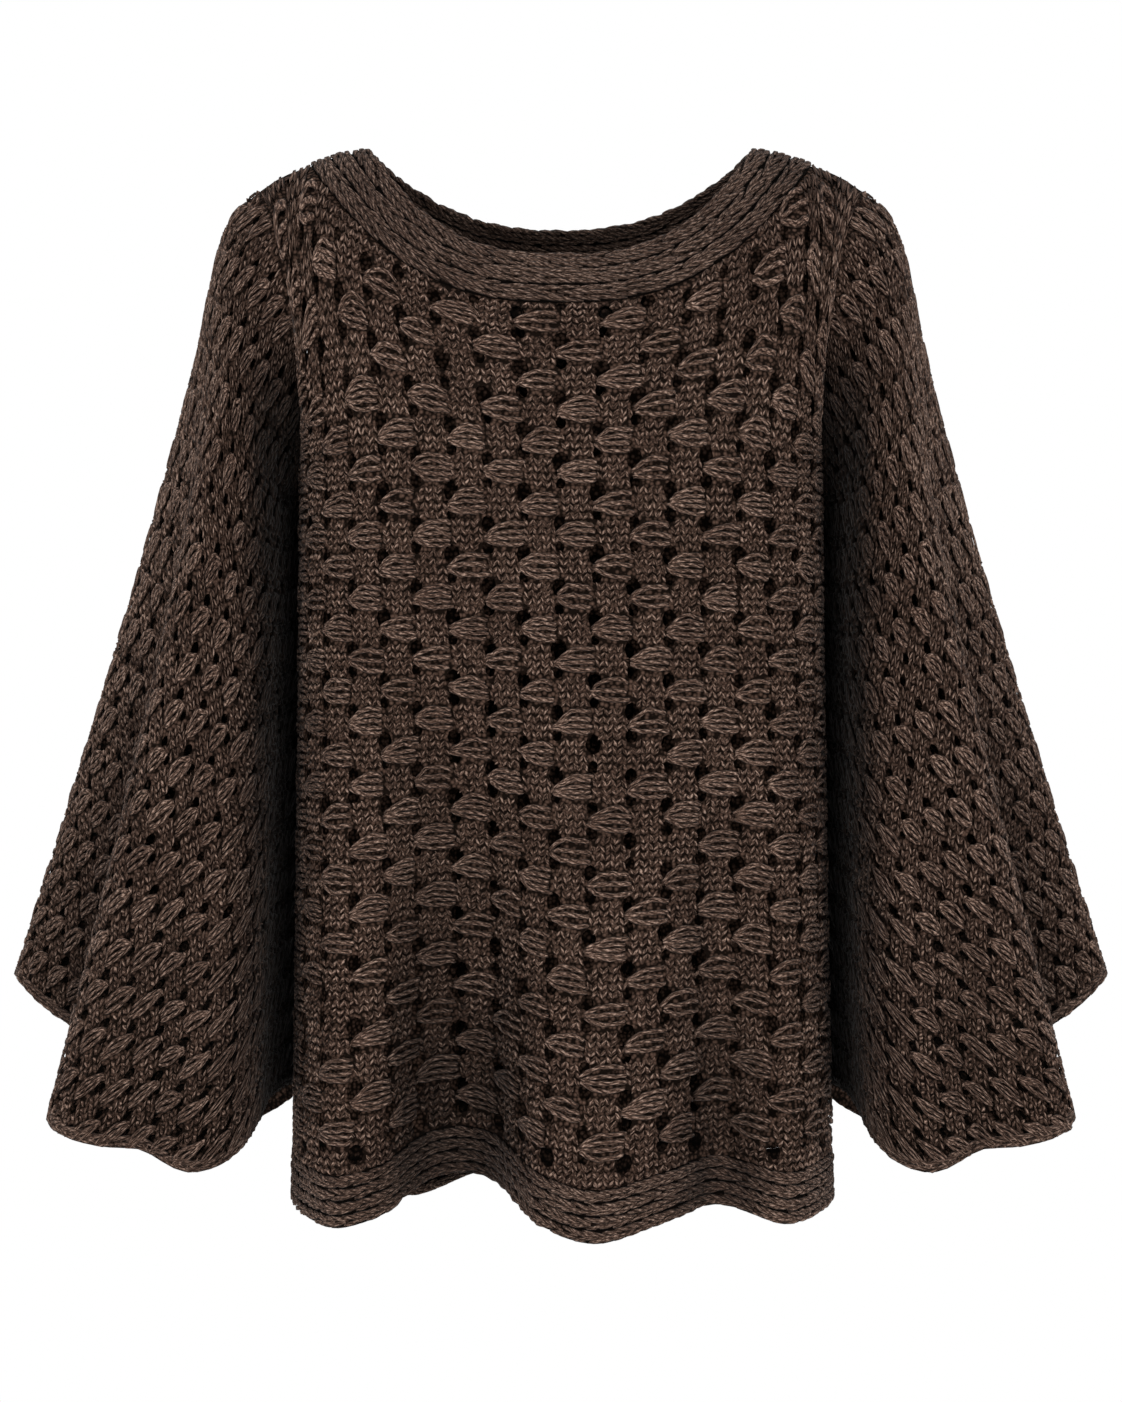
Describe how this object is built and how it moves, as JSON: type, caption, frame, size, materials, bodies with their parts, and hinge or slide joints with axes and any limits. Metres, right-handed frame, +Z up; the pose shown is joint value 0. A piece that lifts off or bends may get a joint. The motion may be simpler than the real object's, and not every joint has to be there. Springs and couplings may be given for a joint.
{
  "type": "open-knit sweater",
  "caption": "Hollow worn pullover in a chunky open knit, with a wide boat neck, bell sleeves and softly folded hem.",
  "frame": {"origin": "middle of the neck opening, level with the two high points of the neck that rest on the wearer's shoulders", "axes": "+X towards the wearer's left, +Y towards the wearer's back, +Z up; the front faces -Y"},
  "size_m": [0.714, 0.2587, 0.6978],
  "materials": {
    "knit_body": "dark brown heather wool yarn, open basket knit, soft and matt",
    "knit_sleeve": "dark brown heather wool yarn, diagonal open knit, slightly fuzzy",
    "knit_border": "dark brown heather wool yarn, ridged border knit"
  },
  "bodies": {
    "root": {"front": "knit_body", "back": "knit_body", "sleeve_left": "knit_sleeve", "sleeve_right": "knit_sleeve", "neckband": "knit_border", "hem_band": "knit_border", "cuff_left": "knit_border", "cuff_right": "knit_border"}
  },
  "joints": []
}
